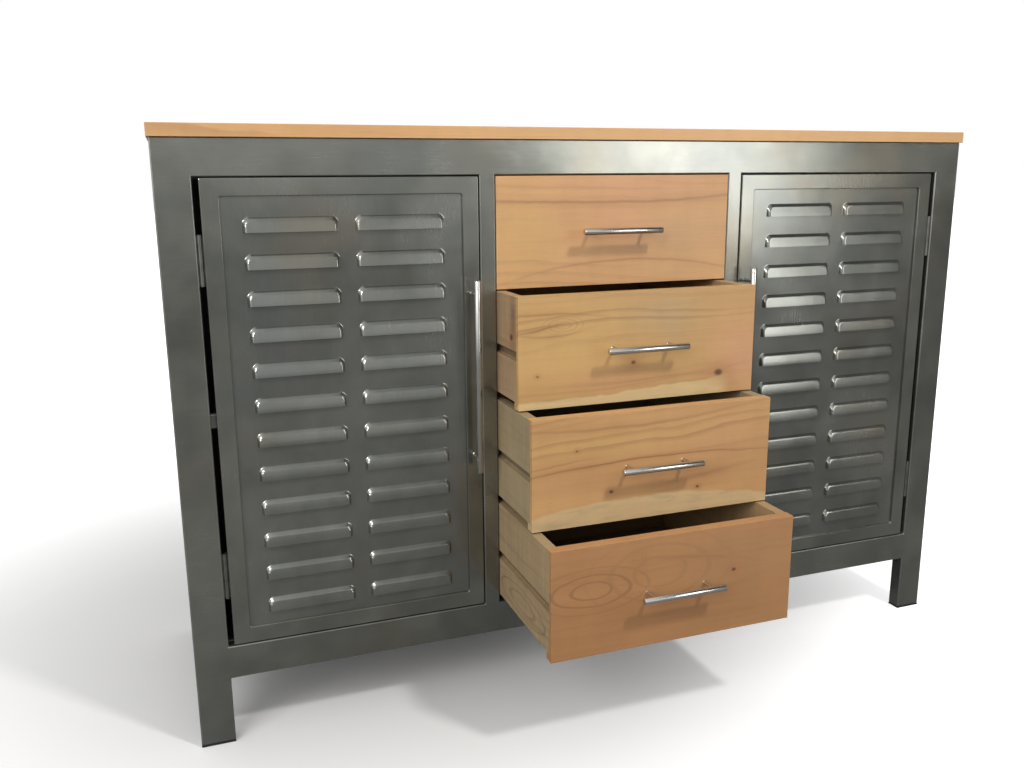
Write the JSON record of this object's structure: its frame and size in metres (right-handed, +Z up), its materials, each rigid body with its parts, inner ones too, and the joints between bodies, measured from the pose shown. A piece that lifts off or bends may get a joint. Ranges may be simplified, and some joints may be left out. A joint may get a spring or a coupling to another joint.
{
  "type": "sideboard buffet",
  "caption": "Low sideboard with a welded steel frame on short legs, a timber top, a louvred steel door at each side and a stack of sliding timber drawers between them.",
  "frame": {"origin": "on the floor, in the middle of the whole part's width and depth, with the drawers as they stand at rest", "axes": "+X to the viewer's right, -Y the front, +Z up"},
  "size_m": [1.376, 0.675, 0.918],
  "materials": {
    "frame_steel": "clear lacquer over bare gun-metal steel",
    "sheet_steel": "clear lacquer over bare sheet steel",
    "door_steel": "semi-gloss clear lacquer over bare sheet steel",
    "top_timber": "satin varnish",
    "front_timber": "satin varnish",
    "box_timber": "sawn and lightly varnished",
    "plywood": "plain",
    "stainless": "brushed",
    "zinc": "zinc plated",
    "black_plastic": "matte"
  },
  "bodies": {
    "carcass": {"front_left_leg": "frame_steel", "front_right_leg": "frame_steel", "rear_left_leg": "frame_steel", "rear_right_leg": "frame_steel", "front_top_rail": "frame_steel", "front_bottom_rail": "frame_steel", "rear_top_rail": "frame_steel", "rear_bottom_rail": "frame_steel", "left_mullion": "frame_steel", "right_mullion": "frame_steel", "rear_uprights": "frame_steel", "side_rails": "frame_steel", "left_side_panel": "sheet_steel", "right_side_panel": "sheet_steel", "back_panel": "sheet_steel", "floor_panel": "sheet_steel", "left_partition": "sheet_steel", "right_partition": "sheet_steel", "left_shelf": "sheet_steel", "right_shelf": "sheet_steel", "shelf_rails": "frame_steel", "top_board": "top_timber", "top_brackets": "frame_steel", "top_board_screws": "zinc", "foot_caps": "black_plastic", "drawer_runners": "box_timber", "hinge_frame_leaves": "zinc", "hinge_pins": "zinc", "door_catches": "black_plastic"},
    "left_door": {"left_door_frame": "door_steel", "left_door_panel": "door_steel", "left_door_handle": "stainless", "left_door_screws": "zinc", "left_door_leaves": "zinc"},
    "right_door": {"right_door_frame": "door_steel", "right_door_panel": "door_steel", "right_door_handle": "stainless", "right_door_screws": "zinc", "right_door_leaves": "zinc"},
    "drawer_1": {"drawer_1_front": "front_timber", "drawer_1_box": "box_timber", "drawer_1_bottom": "plywood", "drawer_1_handle": "stainless", "drawer_1_screws": "zinc"},
    "drawer_2": {"drawer_2_front": "front_timber", "drawer_2_box": "box_timber", "drawer_2_bottom": "plywood", "drawer_2_handle": "stainless", "drawer_2_screws": "zinc"},
    "drawer_3": {"drawer_3_front": "front_timber", "drawer_3_box": "box_timber", "drawer_3_bottom": "plywood", "drawer_3_handle": "stainless", "drawer_3_screws": "zinc"},
    "drawer_4": {"drawer_4_front": "front_timber", "drawer_4_box": "box_timber", "drawer_4_bottom": "plywood", "drawer_4_handle": "stainless", "drawer_4_screws": "zinc"}
  },
  "joints": [
    {"name": "left_door_hinge", "type": "hinge", "parent": "carcass", "child": "left_door", "pos_m": [-0.63075, -0.083, 0.503], "axis": [0, 0, -1], "range_deg": [0, 100]},
    {"name": "right_door_hinge", "type": "hinge", "parent": "carcass", "child": "right_door", "pos_m": [0.63075, -0.083, 0.503], "axis": [0, 0, 1], "range_deg": [0, 100]},
    {"name": "drawer_1_slide", "type": "slide", "parent": "carcass", "child": "drawer_1", "axis": [0, -1, 0], "range_m": [0, 0.3]},
    {"name": "drawer_2_slide", "type": "slide", "parent": "carcass", "child": "drawer_2", "axis": [0, -1, 0], "range_m": [-0.092, 0.208]},
    {"name": "drawer_3_slide", "type": "slide", "parent": "carcass", "child": "drawer_3", "axis": [0, -1, 0], "range_m": [-0.146, 0.154]},
    {"name": "drawer_4_slide", "type": "slide", "parent": "carcass", "child": "drawer_4", "axis": [0, -1, 0], "range_m": [-0.22, 0.08]}
  ]
}
